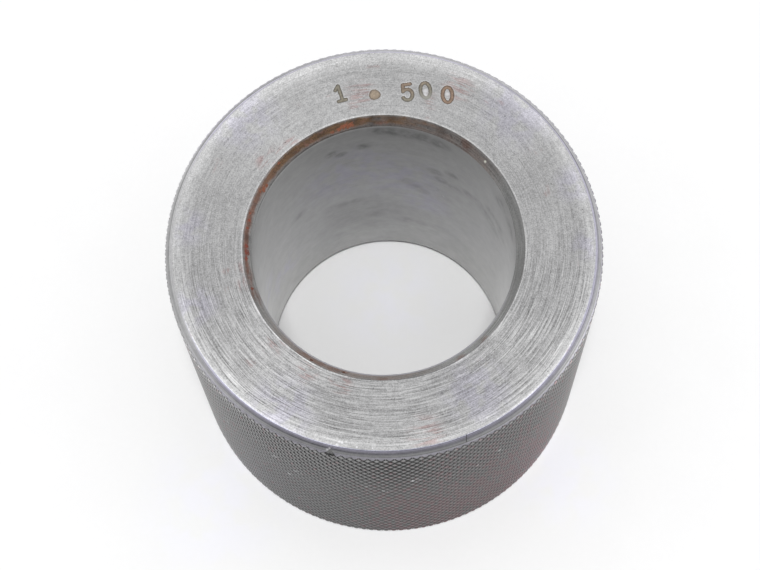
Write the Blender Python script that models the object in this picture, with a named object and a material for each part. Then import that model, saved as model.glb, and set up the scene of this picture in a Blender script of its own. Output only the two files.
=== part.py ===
"""Setting ring gauge: one thick steel ring whose bore is the setting size.

The ring stands on its lower face, centred on the origin, with the bore along Z.
Its outside carries a diamond knurl for grip, which runs out into a chamfer at each
end, and both mouths of the bore are chamfered to lead a measuring head in.
"""

import math

import bmesh
import bpy

# Ring, in metres
BORE_DIAMETER = 0.0381
WALL_THICKNESS = 0.01245
HEIGHT = 0.0508
RIM_CHAMFER = 0.00115
MOUTH_CHAMFER_WIDTH = 0.0012
MOUTH_CHAMFER_DEPTH = 0.00135

# Knurl: two sets of grooves that lean opposite ways and cross, leaving pointed diamonds
KNURL_GROOVES = 80
KNURL_DEPTH = 0.00045
KNURL_LEAN = math.radians(30.0)

# Distance from the axis to the tips of the knurl
CREST_RADIUS = BORE_DIAMETER / 2 + WALL_THICKNESS

# Steel, as linear colour
STEEL_COLOUR = (0.42, 0.42, 0.43, 1.0)
STEEL_ROUGHNESS = 0.38


def clear_scene():
    """Removes whatever the scene holds."""
    for obj in list(bpy.data.objects):
        bpy.data.objects.remove(obj, do_unlink=True)


def steel():
    """Bare tool steel."""
    material = bpy.data.materials.new("tool_steel")
    material.use_nodes = True
    surface = material.node_tree.nodes["Principled BSDF"]
    surface.inputs["Base Color"].default_value = STEEL_COLOUR
    surface.inputs["Metallic"].default_value = 1.0
    surface.inputs["Roughness"].default_value = STEEL_ROUGHNESS
    return material


def knurl_rows():
    """Rows of half diamonds that fill the wall between the two end chamfers."""
    groove_pitch = 2 * math.pi * CREST_RADIUS / KNURL_GROOVES
    row_height = groove_pitch / (2 * math.tan(KNURL_LEAN))
    return max(2, round((HEIGHT - 2 * RIM_CHAMFER) / row_height))


def ring_section(rows):
    """Radius and height of each corner of the ring's section, from the lower mouth round."""
    bore = BORE_DIAMETER / 2
    mouth = bore + MOUTH_CHAMFER_WIDTH
    rim = CREST_RADIUS - RIM_CHAMFER
    row_height = (HEIGHT - 2 * RIM_CHAMFER) / rows
    wall = [(CREST_RADIUS, RIM_CHAMFER + row * row_height) for row in range(rows + 1)]
    lower = [(bore, MOUTH_CHAMFER_DEPTH), (mouth, 0.0), (rim, 0.0)]
    upper = [(rim, HEIGHT), (mouth, HEIGHT), (bore, HEIGHT - MOUTH_CHAMFER_DEPTH)]
    return lower + wall + upper


def turn(bm, section):
    """Turns the section once round Z, with a step for each half groove of the knurl."""
    corners = [bm.verts.new((radius, 0.0, height)) for radius, height in section]
    outline = []
    for this, following in zip(corners, corners[1:] + corners[:1]):
        outline.append(bm.edges.new((this, following)))
    bmesh.ops.spin(
        bm,
        geom=corners + outline,
        cent=(0.0, 0.0, 0.0),
        axis=(0.0, 0.0, 1.0),
        angle=2 * math.pi,
        steps=2 * KNURL_GROOVES,
        use_merge=True,
    )
    bmesh.ops.recalc_face_normals(bm, faces=bm.faces)


def cut_knurl(bm, rows):
    """Sinks the points where grooves cross and joins them along the grooves.

    A crossing on the edge of a chamfer stays on the cone of that chamfer, so that
    the knurl ends in a row of scallops.
    """
    column_angle = math.pi / KNURL_GROOVES
    row_height = (HEIGHT - 2 * RIM_CHAMFER) / rows
    crossings = []
    for vertex in bm.verts:
        if math.hypot(vertex.co.x, vertex.co.y) < CREST_RADIUS - RIM_CHAMFER / 2:
            continue
        column = round(math.atan2(vertex.co.y, vertex.co.x) / column_angle)
        row = round((vertex.co.z - RIM_CHAMFER) / row_height)
        if (column + row) % 2:
            continue
        vertex.co.xy *= 1 - KNURL_DEPTH / CREST_RADIUS
        if row == 0:
            vertex.co.z -= KNURL_DEPTH
        if row == rows:
            vertex.co.z += KNURL_DEPTH
        crossings.append(vertex)
    bmesh.ops.connect_verts(bm, verts=crossings)
    bmesh.ops.triangulate(bm, faces=bm.faces)


def make_ring():
    """The whole gauge: one solid ring."""
    rows = knurl_rows()
    bm = bmesh.new()
    turn(bm, ring_section(rows))
    cut_knurl(bm, rows)
    mesh = bpy.data.meshes.new("gauge_ring")
    bm.to_mesh(mesh)
    bm.free()
    mesh.materials.append(steel())
    ring = bpy.data.objects.new("gauge_ring", mesh)
    bpy.context.scene.collection.objects.link(ring)


clear_scene()
make_ring()
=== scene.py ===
"""Setting ring gauge, dressed for its picture.

The steel ring is turned, chamfered, knurled and stamped with its size as a real one
is, and gets the finish of a gauge that has seen years of use: fine turning marks,
smudges in the bore, rust in the mouth and a dull knurl.
"""

import math

import bmesh
import bpy
import numpy as np
from bpy.props import FloatProperty, FloatVectorProperty, IntProperty, PointerProperty
from mathutils import Matrix, Vector


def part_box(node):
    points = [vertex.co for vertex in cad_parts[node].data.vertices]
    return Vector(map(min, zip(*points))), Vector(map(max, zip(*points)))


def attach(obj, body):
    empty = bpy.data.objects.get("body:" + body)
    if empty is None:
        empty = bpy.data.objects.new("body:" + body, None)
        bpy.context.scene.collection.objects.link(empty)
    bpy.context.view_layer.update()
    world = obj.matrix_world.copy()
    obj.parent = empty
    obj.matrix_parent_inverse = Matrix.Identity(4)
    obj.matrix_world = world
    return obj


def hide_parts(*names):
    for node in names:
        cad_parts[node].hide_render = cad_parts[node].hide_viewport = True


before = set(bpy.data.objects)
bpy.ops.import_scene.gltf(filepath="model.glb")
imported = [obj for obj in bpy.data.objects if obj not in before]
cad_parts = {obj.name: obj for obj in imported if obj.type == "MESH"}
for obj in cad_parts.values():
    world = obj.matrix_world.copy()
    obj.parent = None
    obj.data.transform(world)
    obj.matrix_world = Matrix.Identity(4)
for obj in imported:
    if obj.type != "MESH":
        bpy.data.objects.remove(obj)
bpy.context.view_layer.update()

bl_info = {
    "name": "Setting Ring Gauge",
    "version": (1, 0, 0),
    "blender": (4, 5, 0),
    "location": "3D View > Sidebar > Ring Gauge",
    "description": "Builds a knurled steel setting ring with its stamped size and its stage",
    "category": "Object",
}

MM = 0.001
NODE = "gauge_ring"
RING_LOW, RING_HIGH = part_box(NODE)
RING_SIZE = RING_HIGH - RING_LOW


# Sizes and colours that can be changed


def length(name, description, default, least=0.0):
    """A property in metres, given in millimetres."""
    return FloatProperty(
        name=name,
        description=description,
        default=default * MM,
        min=least * MM,
        unit="LENGTH",
        precision=5,
    )


def colour(name, description, default):
    """A linear colour property."""
    return FloatVectorProperty(
        name=name,
        description=description,
        default=default,
        size=3,
        min=0.0,
        max=1.0,
        subtype="COLOR",
    )


class RingSizes(bpy.types.PropertyGroup):
    """Main sizes of the turned ring."""

    bore_diameter: length("Bore", "Diameter of the finished bore", 38.1)
    outside_diameter: length("Outside", "Diameter over the tips of the knurl", RING_SIZE.x / MM)
    height: length("Height", "Height from face to face", RING_SIZE.z / MM)
    rim_chamfer: length("Rim chamfer", "Leg of the chamfer round each face", 1.15)
    mouth_width: length("Mouth width", "Width of the chamfer at each mouth of the bore", 1.2)
    mouth_depth: length("Mouth depth", "Depth of the chamfer at each mouth of the bore", 1.35)
    edge_radius: length("Edge", "Width of the worn edge between faces", 0.022)


class KnurlSizes(bpy.types.PropertyGroup):
    """Diamond knurl on the outside."""

    grooves: IntProperty(
        name="Grooves",
        description="Grooves of each hand round the ring",
        default=160,
        min=12,
    )
    row: length("Row", "Height from one row of diamonds to the next", 1.07, 0.2)
    first_row: length("First row", "Depth of the first row of diamonds below the face", 1.84)
    depth: length("Depth", "Depth of the grooves", 0.18)
    groove: length("Groove", "Half the width of a groove at the lands", 0.20)
    crown: length("Crown", "Rise of each land towards its middle", 0.04)
    turn: FloatProperty(
        name="Turn",
        description="Angle of the first groove crossing",
        default=math.radians(0.29),
        subtype="ANGLE",
    )


class StampSizes(bpy.types.PropertyGroup):
    """Figures struck into the upper face."""

    stroke: length("Stroke", "Width of a stroke", 0.53)
    depth: length("Depth", "Depth of a full stroke", 0.13)


class SteelColours(bpy.types.PropertyGroup):
    """Colours of the steel and of what has settled on it."""

    face: colour("Face", "Turned face", (0.41, 0.41, 0.412))
    rim: colour("Rim", "Chamfer round the face", (0.43, 0.43, 0.435))
    bore: colour("Bore", "Finished bore", (0.375, 0.375, 0.370))
    knurl: colour("Knurl", "Dull steel of the knurl", (0.12, 0.12, 0.12))
    rust: colour("Rust", "Brown rust in the mouth of the bore", (0.098, 0.050, 0.020))
    fresh_rust: colour("Fresh rust", "Orange spots of fresh rust", (0.245, 0.082, 0.043))
    stain: colour("Stain", "Reddish stain on the steel", (0.34, 0.235, 0.228))
    filling: colour("Filling", "Old grease and dirt in the figures", (0.168, 0.155, 0.123))


class StudioSettings(bpy.types.PropertyGroup):
    """Floor and light."""

    floor: colour("Floor", "Pale floor", (0.86, 0.86, 0.862))
    sky: FloatProperty(name="Sky", description="Strength of the light all round", default=0.88)
    lamp: FloatProperty(
        name="Lamp",
        description="Power of the soft lamp overhead",
        default=6.0,
        subtype="POWER",
    )


# Shaping


def finished_mesh(name, bm):
    """Turns a bmesh into a mesh and lets the bmesh go."""
    mesh = bpy.data.meshes.new(name)
    bm.to_mesh(mesh)
    bm.free()
    return mesh


def new_object(name, mesh):
    """Adds an object to the scene, at the origin."""
    made = bpy.data.objects.new(name, mesh)
    bpy.context.scene.collection.objects.link(made)
    return made


def combined(name, operation, first, second):
    """First mesh joined with, cut by or kept inside the second, by an exact Boolean."""
    body = new_object(name, first)
    tool = new_object(name + "_tool", second)
    cut = body.modifiers.new("combine", "BOOLEAN")
    cut.operation = operation
    cut.solver = "EXACT"
    cut.object = tool
    graph = bpy.context.evaluated_depsgraph_get()
    result = bpy.data.meshes.new_from_object(body.evaluated_get(graph))
    result.name = name
    bpy.data.objects.remove(tool, do_unlink=True)
    bpy.data.objects.remove(body, do_unlink=True)
    return result


# How near counts as touching, and the radii and angles of the face that the figures go on
SNUG = 0.001 * MM
FIGURE_BAND = (21.8 * MM, 27.4 * MM)
FIGURE_ANGLES = (math.radians(58.5), math.radians(108.0))


def turn_round(bm, steps):
    """Turns all that is drawn once round the ring's axis."""
    bmesh.ops.spin(
        bm,
        geom=list(bm.verts) + list(bm.edges),
        cent=(0.0, 0.0, 0.0),
        axis=(0.0, 0.0, 1.0),
        angle=2 * math.pi,
        steps=steps,
        use_merge=True,
    )


def ring_blank(ring, knurl):
    """The turned ring before it is knurled, left oversize outside.

    Its section is drawn as radius and height, the worn edges of both faces are rounded,
    and the section is turned once round the axis.
    """
    bore = ring.bore_diameter / 2
    mouth = bore + ring.mouth_width
    crest = ring.outside_diameter / 2
    rim = crest - ring.rim_chamfer
    over = 1 * MM
    lower = [
        (bore, ring.mouth_depth),
        (mouth, 0.0),
        (rim, 0.0),
        (crest + over, ring.rim_chamfer + over),
    ]
    upper = [(radius, ring.height - height) for radius, height in reversed(lower)]
    band = [(FIGURE_BAND[1], ring.height), (FIGURE_BAND[0], ring.height)]
    section = lower + upper[:2] + band + upper[2:]
    bm = bmesh.new()
    corners = [bm.verts.new((radius, 0.0, height)) for radius, height in section]
    for this, following in zip(corners, corners[1:] + corners[:1]):
        bm.edges.new((this, following))
    bmesh.ops.bevel(
        bm,
        geom=[corners[1], corners[2], corners[5], corners[8]],
        offset=ring.edge_radius,
        offset_type="OFFSET",
        segments=2,
        profile=0.5,
        affect="VERTICES",
        material=-1,
    )
    turn_round(bm, 2 * knurl.grooves)
    bmesh.ops.recalc_face_normals(bm, faces=bm.faces)
    return bm


# Knocks in the face and its edge: radius and angle of the middle, and how wide each is
KNOCKS = [
    (29.66, -104.3, 0.15),
    (29.72, -103.6, 0.17),
    (30.15, -104.7, 0.18),
    (30.00, -99.5, 0.13),
    (29.98, -95.3, 0.09),
    (30.36, -61.0, 0.20),
    (30.34, 38.0, 0.20),
]


def turned(degrees, axis):
    """A turn about an axis."""
    return Matrix.Rotation(math.radians(degrees), 4, axis)


def add_point(bm, sides, radius, depth, place):
    """Adds a pointed cutter."""
    bmesh.ops.create_cone(
        bm, cap_ends=True, segments=sides, radius1=radius, radius2=0.0, depth=depth, matrix=place
    )


def dents(ring):
    """Cutters for the nick and the knocks in the rim, and for the scratch across it."""
    bm = bmesh.new()
    nick_depth = 1.25 * MM
    nick = turned(-106.2, "Z") @ Matrix.Translation((30.80 * MM, 0.0, ring.height - 0.45 * MM))
    nick = nick @ turned(-45, "Y") @ Matrix.Diagonal((0.5, 1.0, 1.0, 1.0))
    nick = nick @ Matrix.Translation((0.0, 0.0, -nick_depth / 2))
    add_point(bm, 4, 1.2 * MM, nick_depth, nick)
    for radius, angle, wide in KNOCKS:
        place = Matrix.Translation((radius * MM, 0.0, ring.height + 0.3 * wide * MM))
        place = turned(angle, "Z") @ place @ turned(200, "Y")
        add_point(bm, 7, wide * 1.6 * MM, wide * 1.2 * MM, place)
    scratch = (
        Matrix.Translation((10.2 * MM, -28.95 * MM, ring.height - 0.32 * MM))
        @ turned(43, "X")
        @ Matrix.Diagonal((0.10 * MM, 1.25 * MM, 0.24 * MM, 1.0))
    )
    bmesh.ops.create_cube(bm, size=1.0, matrix=scratch)
    return bm


def knurled_bar(ring, knurl):
    """A bar with the diamond knurl rolled into it, longer than the ring.

    The bar starts as a lattice of rows and columns. Grooves join every other corner
    of it, and what lies between them is a diamond that is raised to a land.
    """
    columns = 2 * knurl.grooves
    column_angle = 2 * math.pi / columns
    floor_radius = ring.outside_diameter / 2 - knurl.depth - knurl.crown
    top = ring.height - knurl.first_row + 2 * knurl.row
    rows = math.ceil((top + 0.5 * knurl.row) / knurl.row)
    bm = bmesh.new()
    line = [bm.verts.new((floor_radius, 0.0, top - row * knurl.row)) for row in range(rows + 1)]
    for pair in zip(line, line[1:]):
        bm.edges.new(pair)
    turn_round(bm, columns)
    crossings = []
    middles = []
    for vertex in bm.verts:
        column = round(math.atan2(vertex.co.y, vertex.co.x) / column_angle)
        row = round((top - vertex.co.z) / knurl.row)
        if (column + row) % 2:
            crossings.append(vertex)
        elif 0 < row < rows:
            middles.append(vertex)
    bmesh.ops.connect_verts(bm, verts=crossings)
    bmesh.ops.dissolve_verts(bm, verts=middles)
    bmesh.ops.recalc_face_normals(bm, faces=bm.faces)
    if bm.faces[0].normal.dot(bm.faces[0].calc_center_median() * Vector((1, 1, 0))) < 0:
        bmesh.ops.reverse_faces(bm, faces=bm.faces)
    lands = [face for face in bm.faces if len(face.verts) == 4]
    bmesh.ops.inset_individual(
        bm, faces=lands, thickness=knurl.groove, depth=knurl.depth, use_even_offset=True
    )
    bmesh.ops.inset_individual(
        bm, faces=lands, thickness=knurl.crown * 4, depth=knurl.crown, use_even_offset=True
    )
    ends = [edge for edge in bm.edges if edge.is_boundary]
    for height in (top, top - rows * knurl.row):
        rim = [edge for edge in ends if abs(edge.verts[0].co.z - height) < knurl.row / 4]
        bmesh.ops.contextual_create(bm, geom=rim)
    bmesh.ops.recalc_face_normals(bm, faces=bm.faces)
    about_axis = Matrix.Rotation(knurl.turn, 3, "Z")
    bmesh.ops.rotate(bm, verts=bm.verts, cent=(0.0, 0.0, 0.0), matrix=about_axis)
    return bm


def land_tilt(face):
    """How much a face of a land looks up; 0 on the side of a groove."""
    middle = face.calc_center_median()
    outward = Vector((middle.x, middle.y, 0.0)).normalized()
    return face.normal.z if face.normal.dot(outward) > 0.93 else 0.0


# Places on the ring, in millimetres and degrees

FACE_HEIGHT = 50.8
BORE_WALL = 19.0
KNURL_WALL = 31.4


def place_at(angle, radius, height=FACE_HEIGHT):
    """A place at an angle, a radius and a height."""
    turn = math.radians(angle)
    return (radius * math.cos(turn), radius * math.sin(turn), height)


def on_face(spots):
    """Spots on the face, each given as x, y and reach."""
    return [((x, y, FACE_HEIGHT), reach) for x, y, reach in spots]


def on_wall(spots, radius):
    """Spots on a wall of a radius, each given as angle, height and reach."""
    return [(place_at(angle, radius, height), reach) for angle, height, reach in spots]


def in_mouth(spots, ring):
    """Spots on the chamfer of the mouth, each given as angle, share of the way out and reach."""
    placed = []
    for angle, out, reach in spots:
        radius = ring.bore_diameter / 2 + out * ring.mouth_width
        height = ring.height - (1 - out) * ring.mouth_depth
        placed.append((place_at(angle, radius / MM, height / MM), reach))
    return placed


# Figures


def ellipse(middle, half, start, end, steps):
    """Points along part of an ellipse, in degrees from +X."""
    points = []
    for step in range(steps + 1):
        angle = math.radians(start + (end - start) * step / steps)
        x = middle[0] + half[0] * math.cos(angle)
        y = middle[1] + half[1] * math.sin(angle)
        points.append((x, y))
    return points


# Strokes of each figure, in a box one wide and one high round its middle
STROKES = {
    "1": [[(-0.42, 0.24), (-0.10, 0.5), (0.08, -0.46)], [(-0.32, -0.5), (0.40, -0.46)]],
    "5": [
        [(0.30, 0.5), (-0.40, 0.47), (-0.42, 0.05)],
        ellipse((-0.03, -0.16), (0.48, 0.34), 140, -150, 18),
    ],
    "0": [ellipse((0.0, 0.0), (0.5, 0.5), 0, 360, 28)],
}

# Each figure struck: its middle on the face, width and height of its strokes' centre
# lines, tilt, how deep its upper and lower ends went in, and how rusty they are
STRUCK = [
    ("1", (-5.33, 24.02), (1.60, 2.50), 8.5, (0.9, 0.9), (0.0, 0.1)),
    ("5", (4.55, 23.72), (1.55, 2.58), 1.5, (1.0, 1.0), (0.8, 0.0)),
    ("0", (7.20, 23.87), (1.46, 2.46), 4.0, (1.0, 0.6), (0.35, -0.8)),
    ("0", (10.40, 23.00), (1.44, 2.46), 0.0, (0.95, 1.0), (1.0, 1.0)),
]
POINT_MIDDLE = (-0.30, 23.55)
POINT_RADIUS = 0.83


def distance_to_strokes(places, strokes):
    """Least distance from each place to a set of strokes."""
    nearest = np.full(len(places), 1e9)
    for stroke in strokes:
        for start, end in zip(stroke, stroke[1:]):
            start, along = np.array(start), np.subtract(end, start)
            share = ((places - start) @ along / max(along @ along, 1e-12)).clip(0, 1)
            gap = np.linalg.norm(places - start - share[:, None] * along, axis=1)
            nearest = np.minimum(nearest, gap)
    return nearest


def struck_marks(places, stamp):
    """What the figures do to each place on the face.

    Gives how far it is sunk, how much painted highlight it gets beside a stroke, and
    how rusty what fills it is.
    """
    half = stamp.stroke / MM / 2
    sunk = np.zeros(len(places))
    halo_highlight = np.zeros(len(places))
    warmth = np.zeros(len(places))
    for figure, middle, size, tilt, ends, rusty in STRUCK:
        turn = math.radians(tilt)
        across = np.array([math.cos(turn), math.sin(turn)])
        up = np.array([-math.sin(turn), math.cos(turn)])
        local = np.stack([(places - middle) @ across, (places - middle) @ up], axis=1)
        strokes = [[(x * size[0], y * size[1]) for x, y in stroke] for stroke in STROKES[figure]]
        gap = distance_to_strokes(local, strokes)
        share = (local[:, 1] / size[1] + 0.5).clip(0, 1)
        force = ends[1] + (ends[0] - ends[1]) * share
        wide = half * (0.8 + 0.2 * force)
        sunk = np.maximum(sunk, force * (1 - (gap / wide) ** 2).clip(0, 1) ** 0.7)
        # Painted highlight just outside each stroke
        halo_highlight = np.maximum(halo_highlight, force * np.exp(-(((gap - wide - 0.10) / 0.11) ** 2)))
        warmth = np.where(gap < 2 * wide, rusty[1] + (rusty[0] - rusty[1]) * share, warmth)
    offset = places - POINT_MIDDLE
    angle = np.arctan2(offset[:, 1], offset[:, 0])
    radius = POINT_RADIUS * (1 + 0.05 * np.cos(3 * angle + 0.6))
    gap = np.linalg.norm(offset, axis=1) / radius
    sunk = np.maximum(sunk, 0.75 * (1 - gap**4).clip(0, 1) ** 0.7)
    halo_highlight = np.maximum(halo_highlight, 0.8 * np.exp(-(((gap - 1.14) / 0.12) ** 2)))
    warmth = np.where(gap < 2, 2.0, warmth)
    return sunk, np.where(sunk > 0, 0, halo_highlight), warmth


def in_band(vertex, top, slack):
    """Whether a corner of the mesh lies on the upper face where the figures go."""
    radius = math.hypot(vertex.co.x, vertex.co.y)
    angle = math.atan2(vertex.co.y, vertex.co.x)
    inside = FIGURE_BAND[0] - slack < radius < FIGURE_BAND[1] + slack
    return vertex.co.z > top - SNUG and inside and FIGURE_ANGLES[0] < angle < FIGURE_ANGLES[1]


def band_edges(bm, top, radial):
    """Edges of the figure band that run away from the axis, or round it."""
    edges = set()
    for face in bm.faces:
        if all(in_band(vertex, top, SNUG) for vertex in face.verts):
            edges.update(face.edges)
    chosen = []
    for edge in edges:
        inner, outer = sorted(math.hypot(vertex.co.x, vertex.co.y) for vertex in edge.verts)
        if (outer - inner > 0.01 * MM) == radial:
            chosen.append(edge)
    return chosen


def strike_figures(bm, ring, stamp):
    """Gives the face a fine grid where the figures go, and strikes them into it."""
    top = ring.height
    for radial, cuts in ((True, 63), (False, 5)):
        bmesh.ops.subdivide_edges(
            bm, edges=band_edges(bm, top, radial), cuts=cuts, use_grid_fill=True
        )
    names = ("sunk", "halo_highlight", "warmth")
    for name in names:
        bm.verts.layers.float.new(name)
    layers = [bm.verts.layers.float[name] for name in names]
    grid = [vertex for vertex in bm.verts if in_band(vertex, top, -SNUG)]
    places = np.array([vertex.co.xy for vertex in grid]) / MM
    marks = struck_marks(places, stamp)
    for vertex, *values in zip(grid, *marks):
        vertex.co.z -= values[0] * stamp.depth
        for layer, value in zip(layers, values):
            vertex[layer] = value


class Amount:
    """A number worked out on the surface. Its sums and products are worked out there too."""

    def __init__(self, finish, socket):
        self.finish = finish
        self.socket = socket

    def __add__(self, other):
        return self.finish.math("ADD", self, other)

    def __sub__(self, other):
        return self.finish.math("SUBTRACT", self, other)

    def __rsub__(self, other):
        return self.finish.math("SUBTRACT", other, self)

    def __mul__(self, other):
        return self.finish.math("MULTIPLY", self, other)

    def __truediv__(self, other):
        return self.finish.math("DIVIDE", self, other)

    def __abs__(self):
        return self.finish.math("ABSOLUTE", self)

    __radd__ = __add__
    __rmul__ = __mul__


class Finish:
    """A material whose surface is worked out step by step from places on the ring."""

    def __init__(self, name):
        self.material = bpy.data.materials.new(name)
        self.material.use_nodes = True
        self.tree = self.material.node_tree
        self.surface = self.tree.nodes["Principled BSDF"]
        self.surface.inputs["Metallic"].default_value = 1.0
        self.place = self.add("ShaderNodeTexCoord").outputs["Object"]
        flat = self.vector("MULTIPLY", self.place, (1.0, 1.0, 0.0))
        self.radius = self.vector("LENGTH", flat)
        self.outward = self.vector("NORMALIZE", flat)
        self.x, self.y, self.height = self.split(self.place)

    def add(self, kind, **settings):
        """A node with its settings."""
        node = self.tree.nodes.new(kind)
        for name, value in settings.items():
            setattr(node, name, value)
        return node

    def feed(self, socket, value):
        """Links an output to an input, or sets the input's own value."""
        if isinstance(value, Amount):
            value = value.socket
        if isinstance(value, bpy.types.NodeSocket):
            self.tree.links.new(value, socket)
        elif value is not None:
            socket.default_value = (*value, 1.0) if socket.type == "RGBA" else value

    def math(self, operation, *values):
        """One sum on numbers."""
        node = self.add("ShaderNodeMath", operation=operation)
        for socket, value in zip(node.inputs, values):
            self.feed(socket, value)
        return Amount(self, node.outputs[0])

    def vector(self, operation, first, second=None, scale=None):
        """One sum on vectors."""
        node = self.add("ShaderNodeVectorMath", operation=operation)
        self.feed(node.inputs[0], first)
        self.feed(node.inputs[1], second)
        self.feed(node.inputs[3], scale)
        if operation in ("LENGTH", "DISTANCE", "DOT_PRODUCT"):
            return Amount(self, node.outputs[1])
        return node.outputs[0]

    def split(self, vector):
        """X, Y and Z of a vector."""
        node = self.add("ShaderNodeSeparateXYZ")
        self.feed(node.inputs[0], vector)
        return [Amount(self, socket) for socket in node.outputs]

    def noise(self, size, detail=2.0, roughness=0.5, place=None):
        """Soft random pattern from 0 to 1, with blots of a size in millimetres."""
        node = self.add("ShaderNodeTexNoise")
        self.feed(node.inputs["Vector"], place or self.place)
        node.inputs["Scale"].default_value = 1.0 if place else 1.0 / (size * MM)
        node.inputs["Detail"].default_value = detail
        node.inputs["Roughness"].default_value = roughness
        return Amount(self, node.outputs["Fac"])

    def lathe(self, width, length, across=None, detail=2.0, start=0.0):
        """Noise drawn out along the cut of the tool: its width and length in millimetres."""
        across = across or self.radius
        turns = self.vector("SCALE", self.outward, scale=25.0 / length)
        lines = start + across / (width * MM)
        rise = self.add("ShaderNodeCombineXYZ")
        self.feed(rise.inputs[2], lines)
        return self.noise(1.0, detail, 0.55, self.vector("ADD", turns, rise.outputs[0]))

    def between(self, value, low, high, start=0.0, end=1.0):
        """Value from low to high turned smoothly into start to end."""
        node = self.add("ShaderNodeMapRange", interpolation_type="SMOOTHSTEP")
        for socket, number in zip(node.inputs, (value, low, high, start, end)):
            self.feed(socket, number)
        return Amount(self, node.outputs[0])

    def patch(self, middle, reach, squash=1.0):
        """1 at a place in millimetres, falling to 0 at its reach, or sooner in height."""
        stretched = Vector(middle) * Vector((1.0, 1.0, squash)) * MM
        place = self.vector("MULTIPLY", self.place, (1.0, 1.0, squash))
        away = self.vector("DISTANCE", place, tuple(stretched))
        return self.between(away, reach * MM, reach * MM * 0.2)

    def patches(self, spots, squash=1.0):
        """Several patches as one."""
        total = 0.0
        for middle, reach in spots:
            total = self.math("MAXIMUM", self.patch(middle, reach, squash), total)
        return total

    def toward(self, x, y):
        """How much the surface lies towards a side of the ring, from -1 to 1."""
        return self.vector("DOT_PRODUCT", self.outward, (x, y, 0.0))

    def facing(self, x, y, low, high, start=0.0, end=1.0):
        """The same, with low to high turned smoothly into start to end."""
        return self.between(self.toward(x, y), low, high, start, end)

    def mix(self, share, first, second, blend="MIX"):
        """Two colours mixed."""
        node = self.add("ShaderNodeMix", data_type="RGBA", blend_type=blend)
        self.feed(node.inputs[0], share)
        self.feed(node.inputs[6], first)
        self.feed(node.inputs[7], second)
        return node.outputs[2]

    def shade(self, colour, amount):
        """A colour made lighter or darker by a number round 1."""
        return self.mix(1.0, colour, amount, "MULTIPLY")

    def vary(self, *parts):
        """A number round 1 that follows several patterns, each with its own strength."""
        total = 1.0
        for pattern, strength in parts:
            total = total + (pattern - 0.5) * strength
        return total

    def attribute(self, name):
        """A number stored on the mesh."""
        node = self.add("ShaderNodeAttribute", attribute_name=name)
        return Amount(self, node.outputs["Fac"])

    def bump(self, height, depth, strength=1.0):
        """Fine relief of a depth in millimetres."""
        node = self.add("ShaderNodeBump")
        node.inputs["Strength"].default_value = strength
        node.inputs["Distance"].default_value = depth * MM
        self.feed(node.inputs["Height"], height)
        return node.outputs[0]

    def done(self, colour, roughness, normal=None, metal=None):
        """Sets what the surface shows, and gives the material."""
        names = ("Base Color", "Roughness", "Normal", "Metallic")
        for name, value in zip(names, (colour, roughness, normal, metal)):
            self.feed(self.surface.inputs[name], value)
        return self.material


# Reddish stains and lilac sheen on the face: x, y and reach in millimetres
FACE_STAINS = [
    (-20.3, -5.0, 1.6), (-16.0, -14.2, 2.2), (-11.5, -18.4, 2.2), (-6.5, -20.6, 2.2),
    (4.8, -28.0, 3.6), (-15.0, 14.0, 2.8), (-2.3, 23.9, 3.2), (11.9, 24.0, 3.4), (-16.6, 13.9, 2.2),
    (-12.8, 16.4, 1.6), (-3.4, 21.9, 1.3), (-1.7, 25.2, 1.5), (8.2, 22.2, 2.0),
]
FACE_SHEEN = [
    (20.5, 20.0, 8.0), (-19.5, 20.5, 7.0), (-15.0, -23.5, 6.5), (12.0, -22.5, 6.5),
    (-28.0, 4.0, 4.0), (-27.0, -8.0, 4.5), (29.0, -1.5, 3.0), (28.0, 8.0, 4.0),
]
LILAC = (1.0, 0.985, 1.075)

# Painted highlights inside the two noughts
NOUGHT_HIGHLIGHTS = [(7.2, 23.75, 0.55), (7.15, 23.2, 0.45), (10.4, 23.1, 0.5)]


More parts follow.
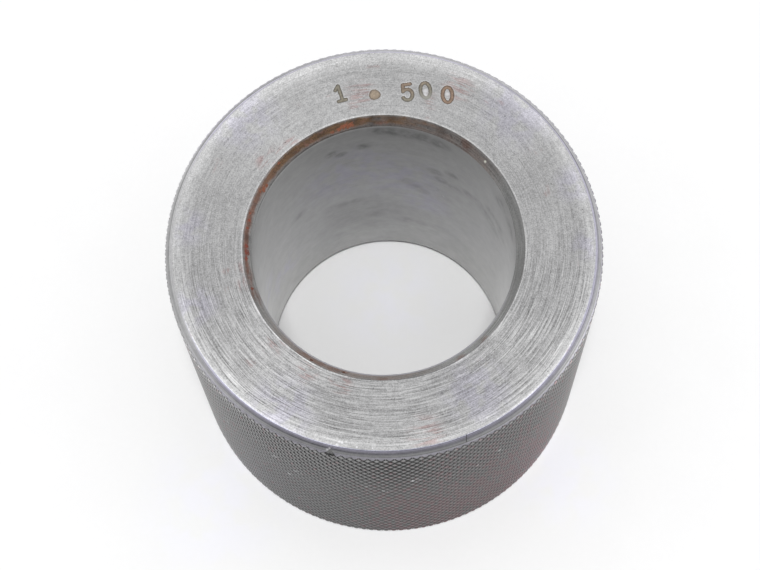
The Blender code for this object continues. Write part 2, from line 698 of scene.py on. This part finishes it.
def turned_face(colours, ring):
    """Turned face: fine rings, speckle, a worn bright rim and faint red stains."""
    steel = Finish("turned_face")
    lines = steel.lathe(0.14, 4.5, detail=3.0)
    bands = steel.lathe(0.5, 12.0)
    grain = steel.noise(0.16, 3.0, 0.6)
    mottle = steel.noise(0.7, 2.0)
    cloud = steel.noise(7.0, 2.0)
    front = steel.between(steel.y, 16 * MM, -18 * MM)
    scored = steel.between(steel.y, 8 * MM, -18 * MM)
    side = abs(steel.toward(1.0, 0.0))
    deeper = scored * steel.between(side, 0.4, 0.7, 1.3, 1.8)
    rim = ring.outside_diameter / 2 - ring.rim_chamfer
    calm = steel.between(steel.radius, rim - 0.9 * MM, rim - 0.3 * MM, 1.0, 0.4)
    lines_show = (0.66 + deeper) * calm
    grain_show = 1.5 + scored * 0.1
    patterns = [(lines, lines_show), (bands, 0.2), (grain, grain_show)]
    tone = steel.vary(*patterns, (mottle, 0.35), (cloud, 0.2))
    # Painted shade: the face darker towards the front, and again in the middle of the front
    tone *= 1.2 - front * 0.22
    middle = steel.facing(0.15, -1.0, 0.75, 1.0)
    tone *= 1 - middle * 0.12
    worn = steel.between(steel.radius, rim - 2.8 * MM, rim - 0.2 * MM)
    tone *= 1 + worn * (0.42 - front * 0.12)
    mouth = ring.bore_diameter / 2 + ring.mouth_width
    # Painted highlight along the edge of the mouth
    lip_highlight = steel.between(steel.radius, mouth + 0.34 * MM, mouth + 0.12 * MM)
    lip_highlight *= steel.facing(-0.85, -0.5, 0.5, 0.9, 0.26, 0.36)
    tone *= 1 + lip_highlight
    # Painted shade along the outer edge in front, and along the mouth's edge at the back and front
    # right
    edge = steel.between(steel.radius, rim - 0.2 * MM, rim - 0.05 * MM)
    edge *= steel.facing(0.0, -1.0, 0.96, 0.995, 0.0, 0.7)
    inner = steel.between(steel.radius, mouth + 0.06 * MM, mouth + 0.02 * MM)
    edge = steel.math("MAXIMUM", edge, inner * steel.facing(0.1, 0.99, 0.88, 0.98))
    inner = steel.between(steel.radius, mouth + 0.12 * MM, mouth + 0.04 * MM)
    edge = steel.math("MAXIMUM", edge, inner * steel.facing(0.5, -0.85, 0.25, 0.7))
    tone *= 1 - edge * 0.4
    # Painted highlight near the outer rim, to either side of the front
    outer = steel.between(steel.radius, rim - 0.45 * MM, rim - 0.12 * MM)
    outer *= steel.facing(0.0, -1.0, 0.98, 0.8) * steel.facing(0.0, -1.0, 0.15, 0.45)
    tone *= 1 + outer * 0.34
    # Painted light and shade: the face darker at its left and right and at the back right, lighter
    # at the back left and front left
    tone *= steel.between(side, 0.75, 1.0, 1.03, 0.92)
    tone *= steel.facing(0.09, -1.0, 0.6, 0.95, 1.0, 0.99)
    tone *= steel.facing(-0.48, 0.88, 0.9, 0.99, 1.0, 1.06)
    tone *= steel.facing(0.8, 0.6, 0.88, 0.98, 1.0, 0.95)
    tone *= steel.facing(-0.8, -0.6, 0.88, 0.98, 1.0, 1.07)
    sheen = steel.patches(on_face(FACE_SHEEN)) * steel.between(steel.noise(2.2, 3.0), 0.38, 0.55)
    lilac = [part * tint for part, tint in zip(colours.face, LILAC)]
    base = steel.mix(sheen, colours.face, lilac)
    # Painted blue fringe of the highlight along the outer edge in front
    bluish = steel.between(steel.radius, rim - 0.12 * MM, rim - 0.02 * MM)
    bluish *= steel.facing(0.2, -1.0, 0.0, 0.4)
    base = steel.mix(bluish, base, (0.41, 0.414, 0.505))
    flecks = steel.between(steel.lathe(0.4, 3.0, detail=3.0, start=2.0), 0.46, 0.62)
    stained = steel.patches(on_face(FACE_STAINS))
    stained = steel.math("MAXIMUM", stained, steel.between(steel.noise(5.0), 0.66, 0.74))
    base = steel.mix(stained * flecks * 0.65, base, colours.stain)
    base = steel.shade(base, tone * 0.77)
    specks = steel.between(steel.noise(0.42, 1.0), 0.73, 0.8)
    base = steel.mix(specks * 0.7, base, (0.1, 0.1, 0.1))
    paths = abs(steel.noise(2.6, 1.0) - 0.5)
    scuffs = steel.between(paths, 0.013, 0.004) * steel.between(steel.noise(3.7), 0.58, 0.64)
    base = steel.mix(scuffs * 0.25, base, (0.56, 0.56, 0.56))
    knocks = [(place_at(angle, radius), wide * 1.5) for radius, angle, wide in KNOCKS]
    knocked = steel.patches(knocks)
    base = steel.mix(knocked * 0.7, base, (0.75, 0.75, 0.77))
    sunk = steel.attribute("sunk")
    halo_highlight = steel.attribute("halo_highlight")
    # Painted highlight beside the strokes and round the point
    base = steel.mix(halo_highlight * 0.45, base, (0.465, 0.465, 0.465))
    warmth = steel.attribute("warmth")
    dirt_and_shade = steel.mix(warmth, colours.filling, (0.198, 0.138, 0.1))
    dirt_and_shade = steel.mix(steel.between(warmth, 1.0, 2.0), dirt_and_shade, (0.272, 0.22, 0.166))
    dirt_and_shade = steel.shade(dirt_and_shade, steel.vary((steel.noise(0.35, 3.0), 1.2)))
    # Painted shade: the filling darker towards the edges of each stroke, where it is shallow
    dirt_and_shade = steel.shade(dirt_and_shade, steel.between(sunk, 0.15, 0.95, 0.5, 1.2))
    dirt_and_shade = steel.mix(steel.between(warmth, 0.0, -1.0), dirt_and_shade, (0.28, 0.275, 0.25))
    filled = steel.between(sunk, 0.0, 0.1)
    # Painted highlights inside the noughts
    inside = steel.patches(on_face(NOUGHT_HIGHLIGHTS))
    base = steel.mix(inside * 0.9, base, (0.575, 0.575, 0.583))
    base = steel.mix(filled, base, dirt_and_shade)
    rough = 0.5 + grain * 0.12
    rough += filled * 0.15
    relief = lines + grain * 0.5
    metal = 1 - filled * 0.85
    return steel.done(base, rough, steel.bump(relief, 0.012, 0.5), metal)


def turned_rim(colours, ring):
    """Chamfer round a face: tool lines, a darker middle and a brighter outer band."""
    steel = Finish("turned_rim")
    lines = steel.lathe(0.15, 35.0)
    broad = steel.lathe(0.4, 25.0, start=7.0)
    grain = steel.noise(0.2, 3.0, 0.6)
    mottle = steel.noise(1.2, 2.0)
    tone = steel.vary((lines, 2.5), (broad, 0.6), (grain, 0.6), (mottle, 0.4))
    # Painted light and shade: the rim lighter towards the right front and away from the front,
    # darker towards the left front
    tone *= steel.facing(0.77, -0.64, 0.8, 0.98, 1.0, 1.1)
    tone *= steel.facing(-0.8, -0.6, 0.75, 0.98, 1.0, 0.95)
    tone *= steel.facing(0.0, -1.0, 0.55, 0.92, 1.18, 1.0)
    rim = ring.outside_diameter / 2 - ring.rim_chamfer
    out = steel.radius - rim
    shown = steel.facing(0.0, -1.0, 0.1, 0.6)
    middle = abs(out - 0.43 * MM)
    middle = steel.between(middle, 0.24 * MM, 0.17 * MM, 0.08, -0.05) * shown
    tone *= 1 + middle
    later = steel.facing(1.0, 0.0, 0.0, 0.6, 0.0, 0.13 * MM)
    band = steel.between(out - later, 0.68 * MM, 0.8 * MM)
    tone *= 1 + band * shown * 0.16
    soft = steel.between(out, 0.1 * MM, 0.75 * MM, 0.12, -0.14)
    tone *= 1 + soft * (1 - shown)
    violet = steel.facing(-1.0, 0.0, 0.95, 0.75)
    base = steel.mix(band * violet, colours.rim, (0.45, 0.44, 0.485))
    upper = steel.between(out, 0.7 * MM, 0.1 * MM) * violet
    base = steel.mix(upper, base, (0.4, 0.388, 0.465))
    base = steel.shade(base, tone)
    # Painted highlight on the rim beside the nick
    bright = [(place_at(-107.0, 30.95, 50.2), 0.3), (place_at(-106.5, 30.75, 50.4), 0.25)]
    bright = steel.patches(bright)
    base = steel.mix(bright * 0.9, base, (0.95, 0.95, 0.98))
    rough = 0.28 + grain * 0.1
    return steel.done(base, rough, steel.bump(lines, 0.012, 0.5))


# Fresh rust, brown smears and dull spots in the mouth: angle, share of the way out on the
# chamfer, and reach in millimetres
RUST_SPOTS = [
    (150.6, 0.42, 0.75), (148.4, 0.36, 0.5), (152.2, 0.6, 0.4), (101.6, 0.5, 0.7),
    (103.4, 0.44, 0.8), (105.3, 0.44, 0.75), (107.2, 0.38, 0.6), (110.4, 0.32, 0.55),
    (137.5, 0.74, 0.45), (163.0, 0.7, 0.45), (165.8, 0.62, 0.55), (169.6, 0.6, 0.45),
    (177.3, 0.5, 0.65), (180.0, 0.48, 0.85), (182.8, 0.58, 0.65), (196.5, 0.6, 0.45),
    (-123.0, 0.7, 0.5), (-109.0, 0.5, 0.5),
]
BROWN_SMEARS = [
    (-170.0, 0.6, 1.6), (-160.0, 0.5, 1.8), (-127.0, 0.6, 1.8), (-120.0, 0.5, 2.0),
    (-113.0, 0.5, 2.0), (-108.5, 0.4, 0.9), (-93.0, 0.8, 1.2), (-60.0, 0.9, 1.2), (-48.0, 0.9, 1.2),
    (50.0, 0.5, 1.6),
]
DULL_SPOTS = [
    (100.0, 0.7, 1.3), (92.0, 0.6, 1.5), (84.0, 0.6, 1.2), (115.0, 0.6, 1.2), (173.5, 0.5, 1.0),
    (62.0, 0.6, 1.3),
]


def rusted_mouth(colours, ring):
    """Chamfer at the mouth of the bore: brown with rust on one side, with fresh spots.

    The rust fades towards both edges; the rest is bare steel with tool lines, with painted
    light in front and painted shade at the back, and a brownish film in places.
    """
    steel = Finish("rusted_mouth")
    across = (steel.radius - ring.bore_diameter / 2) / ring.mouth_width
    front = steel.facing(0.0, -1.0, 0.2, 0.9)
    lines = steel.lathe(0.12, 10.0)
    cloud = steel.lathe(0.5, 2.4, start=5.0)
    grain = steel.noise(0.22, 3.0, 0.65)
    blots = steel.noise(1.1, 3.0, 0.6)
    wander = (blots - 0.5) * 0.5
    edge = across + wander
    upper = steel.between(steel.height, 20 * MM, 30 * MM)
    shaded = steel.facing(0.2, 0.98, 0.05, 1.05) * upper
    # Painted light in front, and painted shade over the upper part at the back
    tone = 1.15 + front * 1.05
    tone *= 1 - shaded * 0.42
    tone *= steel.vary((lines, 1.2), (grain, 0.9), (cloud, 0.4))
    base = steel.shade((0.33, 0.332, 0.33), tone)
    film_and_shade = steel.facing(-0.34, -0.94, 0.7, 0.98)
    base = steel.shade(base, 1 - film_and_shade * 0.12)
    # The brownish film is laid also where the painted shade lies at the back
    warm = shaded * steel.facing(0.0, 1.0, 0.38, 0.66)
    film_and_shade = steel.math("MAXIMUM", film_and_shade, warm)
    film_and_shade *= steel.between(edge, 1.1, 0.7)
    film_and_shade *= steel.between(cloud, 0.3, 0.6, 0.5, 1.2)
    base = steel.mix(film_and_shade, base, (1.0, 0.87, 0.82), "MULTIPLY")
    amount = steel.toward(-0.73, 0.68) + (cloud - 0.5) * 1.2
    smears = steel.patches(in_mouth(BROWN_SMEARS, ring))
    smears *= steel.between(cloud, 0.3, 0.55)
    base = steel.mix(smears, base, (0.8, 0.66, 0.62), "MULTIPLY")
    marks = steel.between(steel.noise(0.45, 2.0, 0.6), 0.56, 0.66) * shaded
    base = steel.shade(base, 1 - marks * 0.32)
    brown = steel.between(amount, 0.1, 0.85) * steel.between(edge, 1.05, 0.72, 0.25, 1.0)
    left = steel.facing(-1.0, 0.0, 0.7, 0.98)
    inner = edge - left * 0.12
    brown = brown * upper * steel.between(inner, 0.04, 0.4)
    reddish = steel.math("MAXIMUM", left, steel.between(blots, 0.5, 0.66))
    rust = steel.mix(reddish, colours.rust, (0.135, 0.066, 0.046))
    rust = steel.shade(rust, steel.vary((cloud, 1.2), (grain, 2.4), (lines, 0.9)))
    rust = steel.shade(rust, steel.facing(-0.86, 0.51, 0.9, 0.98, 1.0, 1.22))
    base = steel.mix(brown * 0.94, base, rust)
    dull = steel.patches(in_mouth(DULL_SPOTS, ring))
    base = steel.shade(base, 1 - dull * 0.28)
    spots = steel.patches(in_mouth(RUST_SPOTS, ring))
    crumbs = steel.noise(0.35, 2.0, 0.6)
    ragged = spots + (crumbs - 0.5) * 2.0 + wander
    spots = steel.between(ragged, 0.45, 0.95, 0.0, 0.9)
    crimson = steel.facing(-1.0, 0.0, 0.92, 0.99)
    fresh = steel.mix(crimson, colours.fresh_rust, (0.23, 0.055, 0.035))
    fresh = steel.shade(fresh, steel.vary((grain, 1.5)))
    base = steel.mix(spots, base, fresh)
    # Painted shade line along the inner edge at the back left
    inner_shade_line = steel.between(edge, 0.22, 0.04) * steel.facing(-0.6, 0.8, 0.75, 0.95)
    base = steel.shade(base, 1 - inner_shade_line * 0.4)
    # Less painted shade on the outer part of the chamfer at the back
    outer = steel.between(across, 0.8, 0.96) * shaded
    base = steel.shade(base, 1 + outer * 0.3)
    # Painted highlight along the inner part of the chamfer in front
    lip_highlight = steel.between(across, 0.31, 0.14) * front
    base = steel.mix(lip_highlight, base, (0.95, 0.94, 1.0))
    base = steel.mix(steel.patch((15.38, 12.38, 50.1), 0.32), base, (0.95, 0.95, 0.85))
    rough = 0.42 + brown * 0.2
    metal = 0.8 - brown * 0.7
    return steel.done(base, rough, steel.bump(grain, 0.02, 0.6), metal)


# Smudges and lilac tints in the bore: angle, height and reach
SMUDGES = [
    (112.0, 43.0, 1.7), (108.0, 41.6, 1.5), (97.0, 42.7, 1.8), (90.0, 47.6, 2.2), (84.0, 47.5, 2.8),
    (77.0, 47.3, 3.0), (70.0, 47.0, 2.8), (62.0, 46.9, 2.6), (78.0, 28.8, 1.8), (73.5, 27.3, 2.0),
    (69.5, 26.2, 1.8), (63.7, 35.7, 2.0), (60.6, 33.4, 2.0), (55.0, 37.4, 1.8), (53.0, 33.0, 2.0),
    (45.0, 34.6, 1.8), (38.5, 34.8, 2.2), (34.0, 34.0, 2.5), (30.0, 33.4, 2.5), (26.0, 32.4, 2.2),
    (30.0, 36.8, 2.0), (22.0, 36.8, 2.2), (19.5, 34.9, 2.0), (24.0, 45.5, 3.0), (12.0, 44.5, 3.0),
    (115.0, 21.9, 2.2), (109.5, 21.6, 2.2), (103.0, 21.4, 2.0), (94.0, 14.2, 2.4),
    (77.6, 11.8, 2.4), (70.5, 11.8, 2.0), (133.0, 28.0, 2.0),
]
BORE_TINTS = [
    (104.0, 34.0, 12.0), (84.0, 31.0, 11.0), (68.0, 22.0, 6.0), (150.0, 14.0, 6.0),
    (172.0, 22.0, 6.0),
]


def finished_bore(colours, ring):
    """Finished bore: satin, with smudges of grease and painted shade below the mouth."""
    steel = Finish("finished_bore")
    lines = steel.lathe(0.16, 9.0, steel.height)
    streaks = steel.lathe(2.2, 2.6, steel.height, 3.0)
    cloud = steel.noise(5.0, 3.0, 0.55)
    mottle = steel.noise(1.6, 3.0, 0.6)
    tone = steel.vary((lines, 0.22), (streaks, 0.14), (cloud, 0.5), (mottle, 0.36))
    ragged = steel.between(steel.noise(1.6, 3.0, 0.6), 0.28, 0.68)
    smudged = steel.patches(on_wall(SMUDGES, BORE_WALL), 1.2) * ragged
    lower = steel.between(steel.height, 20 * MM, 48 * MM, -0.28, -0.6)
    tone *= 1 + smudged * lower
    # Painted light and shade: lighter low down, darker higher up
    tone *= steel.between(steel.height, 2 * MM, 42 * MM, 1.2, 0.92)
    # Painted shade: darker towards the top at the back
    back = steel.facing(0.1, 1.0, 0.1, 1.0)
    film_and_shade = steel.between(steel.height, ring.height - 12 * MM, ring.height - 1 * MM, 0.27, 0.32)
    tone *= 1 - back * film_and_shade
    # Painted light: the bore lighter towards its sides than at the back
    tone *= steel.facing(0.0, 1.0, 0.0, 0.4, 1.3, 1.0)
    # Painted shadow on the back wall, low down
    deep_shadow = steel.patch(place_at(100.0, BORE_WALL, 15.0), 11.0)
    tone *= 1 - deep_shadow * 0.16
    # Painted highlight just below the mouth at the back
    top = steel.between(steel.height, ring.height - 2.1 * MM, ring.height - 1.5 * MM)
    top *= steel.facing(-0.5, 0.86, 0.5, 0.9)
    tone *= 1 + top * 0.34
    tints = steel.patches(on_wall(BORE_TINTS, BORE_WALL))
    tint = tints * steel.between(steel.noise(2.2, 3.0), 0.38, 0.6)
    base = steel.mix(tint, colours.bore, (0.37, 0.363, 0.415))
    base = steel.shade(base, tone)
    rough = 0.24 + cloud * 0.16
    return steel.done(base, rough, steel.bump(lines, 0.006, 0.4))


# Scuffs on the knurl: angle, height and reach
SCUFFS = [
    (-84.5, 36.3, 1.1), (-83.2, 37.6, 0.7), (-92.6, 30.7, 0.9), (-97.5, 33.5, 0.9),
    (-60.5, 36.2, 0.9), (-66.5, 34.0, 0.7), (-123.6, 33.9, 1.2), (-117.0, 31.0, 1.2),
    (-120.0, 27.0, 0.8), (-45.0, 40.0, 0.8), (-142.0, 30.0, 0.9), (35.0, 28.0, 1.2),
    (118.0, 33.0, 1.3), (171.0, 22.0, 1.0),
]


def in_groove(steel, ring, knurl, hand):
    """1 along the grooves that lean one way, falling to 0 beside them."""
    angle = steel.math("ARCTAN2", steel.y, steel.x) - knurl.turn
    column = angle * (knurl.grooves / math.pi)
    top = ring.height - knurl.first_row + 2 * knurl.row
    row = (top - steel.height) / knurl.row
    place = (column - row * hand) * 0.5 - 0.5
    return steel.between(steel.math("PINGPONG", place, 0.5), 0.27, 0.15)


def dull_knurl(colours, ring, knurl):
    """Knurl: dull steel, its grooves dark with dirt and painted shade, reddish low down in front.

    On each side of the front, one hand of grooves is painted in shade and the other lit. The
    painted contrast fades towards the lower end.
    """
    steel = Finish("dull_knurl")
    shoulder = ring.outside_diameter / 2 - knurl.crown
    land = steel.between(steel.radius, shoulder - 0.4 * knurl.depth, shoulder + 0.4 * knurl.crown)
    cloud = steel.noise(5.0, 3.0, 0.6)
    grain = steel.noise(0.25, 3.0, 0.6)
    front = steel.facing(0.0, -1.0, 0.55, 0.92)
    low = steel.between(steel.height, 46 * MM, 8 * MM)
    blots = steel.noise(1.2, 3.0, 0.65)
    stained = steel.facing(0.42, -0.91, 0.7, 0.97)
    stained *= 0.05 + low * 0.12
    reddish = steel.between(stained + blots, 0.59, 0.66)
    base = steel.mix(reddish * 0.7, colours.knurl, (0.165, 0.103, 0.109))
    # Painted shade in the grooves: on each side of the front one hand is dark and the other light
    side = steel.facing(-1.0, 0.0, -0.45, 0.45, -1.0, 1.0)
    right = in_groove(steel, ring, knurl, -1) * steel.between(side, 1.0, 0.0, 0.0, 1.0)
    left = in_groove(steel, ring, knurl, 1) * steel.between(side, -1.0, 0.0, 0.35, 1.0)
    groove_dirt_and_shade = steel.math("MAXIMUM", left, right)
    fade = steel.between(steel.height, 46 * MM, 24 * MM, 0.0, 0.78)
    fade = steel.math("MAXIMUM", fade, steel.between(side, -0.2, -1.0, 0.0, 0.45))
    clean_and_lit = 1 - groove_dirt_and_shade
    clean_and_lit += (0.62 - clean_and_lit) * fade
    groove = 0.5 - front * 0.28
    top = 1.34 + front * 0.32
    tone = groove + clean_and_lit * (top - groove)
    # Painted highlight on the faces of the lands that look up
    tone *= 1 + steel.attribute("tilt") * 2.4
    end = steel.math("MINIMUM", steel.height, ring.height - steel.height)
    margin = steel.between(end, 1.76 * MM, 1.48 * MM)
    shallow = steel.between(steel.radius, shoulder - 1.3 * knurl.depth, shoulder - 1.1 * knurl.depth)
    tone = 1.35 + shallow * (tone - 1.35)
    margin *= shallow * land
    tone += margin * (2.9 - tone)
    tone *= steel.vary((grain, 1.1), (cloud, 0.25))
    # Painted light: the knurl lighter towards its sides, and near its ends at the sides
    tone *= steel.facing(0.02, -1.0, 1.0, 0.3, 0.86, 1.85)
    high = steel.between(end, 7 * MM, 1 * MM) * steel.facing(0.0, -1.0, 0.9, 0.5)
    tone *= 1 + high * 0.5
    base = steel.shade(base, tone)
    scuffed = steel.patches(on_wall(SCUFFS, KNURL_WALL))
    scuffed *= steel.between(grain, 0.4, 0.55)
    chance = steel.between(grain, 0.6, 0.7) * steel.between(steel.noise(1.6), 0.6, 0.7)
    scuffed = steel.math("MAXIMUM", scuffed, chance * 0.7)
    base = steel.mix(scuffed * land * 0.75, base, (0.58, 0.58, 0.59))
    rough = 0.34 + grain * 0.2
    return steel.done(base, rough, steel.bump(grain, 0.02, 0.5))


FACE, RIM, MOUTH, BORE, KNURL = range(5)


def surface_of(face, ring):
    """Which finish a face of the ring has."""
    middle = face.calc_center_median()
    radius = math.hypot(middle.x, middle.y)
    end = min(middle.z, ring.height - middle.z)
    bore = ring.bore_diameter / 2
    rim = ring.outside_diameter / 2 - ring.rim_chamfer
    if radius < bore + 0.03 * MM:
        return BORE
    if end < 0.09 * MM or end < 0.2 * MM and bore + 2 * MM < radius < rim - 0.5 * MM:
        return FACE
    if radius < bore + ring.mouth_width:
        return MOUTH
    if abs(radius - rim - end) < 0.05 * MM:
        return RIM
    return KNURL


# Side of the square that the surface is laid out on, and the gap between its strips
SHEET_SIDE = 205 * MM
SHEET_GAP = 3 * MM


def unroll(bm, ring):
    """Lays the surface out flat: two strips for the bore and the knurl, a disc for each end."""
    layer = bm.loops.layers.uv.new("OFBake")
    sheet = 1 / SHEET_SIDE
    gap = SHEET_GAP
    across = ring.outside_diameter
    second = ring.height + 2 * gap
    for face in bm.faces:
        middle = face.calc_center_median()
        turn = math.atan2(middle.y, middle.x)
        wall = face.material_index in (BORE, KNURL)
        for loop in face.loops:
            place = loop.vert.co
            if wall:
                step = math.atan2(place.y, place.x) - turn
                angle = turn + (step + math.pi) % (2 * math.pi) - math.pi
                radius = across / 2 if face.material_index == KNURL else ring.bore_diameter / 2
                start = gap if face.material_index == KNURL else second
                along = (angle + math.pi) * radius + gap
                loop[layer].uv = (along * sheet, (start + place.z) * sheet)
            elif middle.z > ring.height / 2:
                right = ring.bore_diameter * math.pi + 2 * gap + across / 2
                up = second + across / 2
                loop[layer].uv = ((right + place.x) * sheet, (up + place.y) * sheet)
            else:
                up = second + 1.5 * across + gap
                loop[layer].uv = ((gap + across / 2 - place.x) * sheet, (up + place.y) * sheet)


# Operators


class RINGGAUGE_OT_ring(bpy.types.Operator):
    """Turn, knurl and stamp the steel ring"""

    bl_idname = "ringgauge.ring"
    bl_label = "Ring"

    def execute(self, context):
        scene = context.scene
        ring, knurl, colours = scene.ring_sizes, scene.ring_knurl, scene.ring_colours
        blank = finished_mesh("blank", ring_blank(ring, knurl))
        bar = finished_mesh("bar", knurled_bar(ring, knurl))
        knurled = combined("knurled_ring", "INTERSECT", bar, blank)
        cutters = finished_mesh("cutters", dents(ring))
        mesh = combined("steel_ring", "DIFFERENCE", knurled, cutters)
        bm = bmesh.new()
        bm.from_mesh(mesh)
        strike_figures(bm, ring, scene.ring_stamp)
        # How much each land face looks up, for its painted highlight
        tilt = bm.faces.layers.float.new("tilt")
        for face in bm.faces:
            face.material_index = surface_of(face, ring)
            face.smooth = True
            if face.material_index == KNURL:
                face[tilt] = land_tilt(face)
        for edge in bm.edges:
            sides = {face.material_index for face in edge.link_faces}
            sharp = 50 if sides == {KNURL} else 12
            edge.smooth = len(sides) == 1 and edge.calc_face_angle() < math.radians(sharp)
        unroll(bm, ring)
        bm.to_mesh(mesh)
        bm.free()
        for finish in (
            turned_face(colours, ring),
            turned_rim(colours, ring),
            rusted_mouth(colours, ring),
            finished_bore(colours, ring),
            dull_knurl(colours, ring, knurl),
        ):
            mesh.materials.append(finish)
        piece = new_object("steel_ring", mesh)
        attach(piece, "root")
        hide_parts(NODE)
        return {"FINISHED"}


class RINGGAUGE_OT_stage(bpy.types.Operator):
    """Lay the pale floor and set the soft light and the camera"""

    bl_idname = "ringgauge.stage"
    bl_label = "Stage"

    def execute(self, context):
        scene = context.scene
        studio = scene.ring_studio
        bm = bmesh.new()
        bmesh.ops.create_grid(bm, x_segments=2, y_segments=2, size=FLOOR_REACH)
        floor = new_object("floor", finished_mesh("floor", bm))
        floor.data.materials.append(floor_material(studio))
        light_world(studio)
        lamp_data = bpy.data.lights.new("overhead", "AREA")
        lamp_data.shape = "DISK"
        lamp_data.size = LAMP_WIDTH
        lamp_data.energy = studio.lamp
        lamp = new_object("overhead", lamp_data)
        lamp.matrix_world = turned(LAMP_LEAN, "X") @ Matrix.Translation((0.0, 0.0, LAMP_HEIGHT))
        set_camera(scene)
        return {"FINISHED"}


# Floor and lamp, in metres and degrees
FLOOR_REACH = 1.5
LAMP_WIDTH = 0.14
LAMP_HEIGHT = 1.0
LAMP_LEAN = 11.0

# Faint lilac tints on the floor: place and reach in millimetres
FLOOR_TINTS = [
    ((0.0, 9.0, 0.0), 13.0),
    ((-30.0, -26.0, 0.0), 16.0),
    ((28.0, -24.0, 0.0), 12.0),
]


def floor_material(studio):
    """Pale matt paper."""
    paper = Finish("floor_paper")
    paper.surface.inputs["Metallic"].default_value = 0.0
    patches = paper.vary((paper.noise(12.0), 0.03), (paper.noise(1.0), 0.02))
    tint = paper.patches(FLOOR_TINTS) * paper.between(paper.noise(5.0), 0.35, 0.6)
    base = paper.mix(tint, studio.floor, (0.86, 0.86, 0.9))
    return paper.done(paper.shade(base, patches), 0.9)


# How the light falls off towards the camera's side: y of the direction, then the strength
DIMMING = (-0.95, -0.1, 0.5, 1.0)


def light_world(studio):
    """Soft light all round, dimmer on the side where the camera stands."""
    world = bpy.data.worlds.new("soft_room")
    bpy.context.scene.world = world
    world.use_nodes = True
    tree = world.node_tree
    tree.nodes.clear()
    out = tree.nodes.new("ShaderNodeOutputWorld")
    glow = tree.nodes.new("ShaderNodeBackground")
    place = tree.nodes.new("ShaderNodeTexCoord")
    split = tree.nodes.new("ShaderNodeSeparateXYZ")
    tree.links.new(place.outputs["Generated"], split.inputs[0])
    dim = tree.nodes.new("ShaderNodeMapRange")
    dim.interpolation_type = "SMOOTHSTEP"
    for socket, value in zip(dim.inputs[1:5], DIMMING):
        socket.default_value = value
    tree.links.new(split.outputs[1], dim.inputs["Value"])
    strength = tree.nodes.new("ShaderNodeMath")
    strength.operation = "MULTIPLY"
    strength.inputs[1].default_value = studio.sky
    tree.links.new(dim.outputs[0], strength.inputs[0])
    tree.links.new(strength.outputs[0], glow.inputs["Strength"])
    tree.links.new(glow.outputs[0], out.inputs["Surface"])


# Camera: focal length in pixels of a picture of a width, then how far it stands above the
# face's plane, and its sideways, tipping and rolling turns, in degrees, and its distance
CAMERA_FOCUS = 1808.0
PICTURE_WIDTH = 760.0
SENSOR_WIDTH = 36.0
CAMERA_ANGLES = (69.630, -0.171, 1.285, 2.618)
CAMERA_DISTANCE = 258.75 * MM


def set_camera(scene):
    """Stands the camera where the photograph was taken from."""
    high, side, tip, roll = (math.radians(angle) for angle in CAMERA_ANGLES)
    back = Vector((0.0, -math.cos(high), math.sin(high)))
    right = Vector((1.0, 0.0, 0.0))
    up = back.cross(right)
    looking = Matrix((right, up, back))
    looking = (
        Matrix.Rotation(roll, 3, "Z")
        @ Matrix.Rotation(tip, 3, "X")
        @ Matrix.Rotation(side, 3, "Y")
        @ looking
    )
    lens = bpy.data.cameras.new("camera")
    lens.sensor_width = SENSOR_WIDTH
    lens.lens = CAMERA_FOCUS / PICTURE_WIDTH * SENSOR_WIDTH
    lens.clip_start = 0.01
    camera = new_object("camera", lens)
    place = back * CAMERA_DISTANCE + Vector((0.0, 0.0, scene.ring_sizes.height))
    camera.matrix_world = Matrix.Translation(place) @ looking.transposed().to_4x4()
    scene.camera = camera
    scene.view_settings.view_transform = "Standard"


class RINGGAUGE_PT_panel(bpy.types.Panel):
    """Sizes, colours and steps of the ring gauge"""

    bl_label = "Setting Ring Gauge"
    bl_idname = "RINGGAUGE_PT_panel"
    bl_space_type = "VIEW_3D"
    bl_region_type = "UI"
    bl_category = "Ring Gauge"

    def draw(self, context):
        for name in GROUPS:
            box = self.layout.box()
            box.label(text=name.replace("_", " ").capitalize())
            group = getattr(context.scene, name)
            for key in group.__annotations__:
                box.prop(group, key)
        for step in STEPS:
            self.layout.operator(step.bl_idname)


STEPS = (RINGGAUGE_OT_ring, RINGGAUGE_OT_stage)
GROUPS = {
    "ring_sizes": RingSizes,
    "ring_knurl": KnurlSizes,
    "ring_stamp": StampSizes,
    "ring_colours": SteelColours,
    "ring_studio": StudioSettings,
}


def register():
    """Adds the settings, steps and panel to Blender."""
    for name, group in GROUPS.items():
        bpy.utils.register_class(group)
        setattr(bpy.types.Scene, name, PointerProperty(type=group))
    for step in STEPS:
        bpy.utils.register_class(step)
    bpy.utils.register_class(RINGGAUGE_PT_panel)


def unregister():
    """Takes them out again."""
    bpy.utils.unregister_class(RINGGAUGE_PT_panel)
    for step in reversed(STEPS):
        bpy.utils.unregister_class(step)
    for name, group in reversed(GROUPS.items()):
        delattr(bpy.types.Scene, name)
        bpy.utils.unregister_class(group)


def main():
    """Builds the ring and its stage."""
    register()
    bpy.ops.ringgauge.ring()
    bpy.ops.ringgauge.stage()


if __name__ == "__main__":
    main()
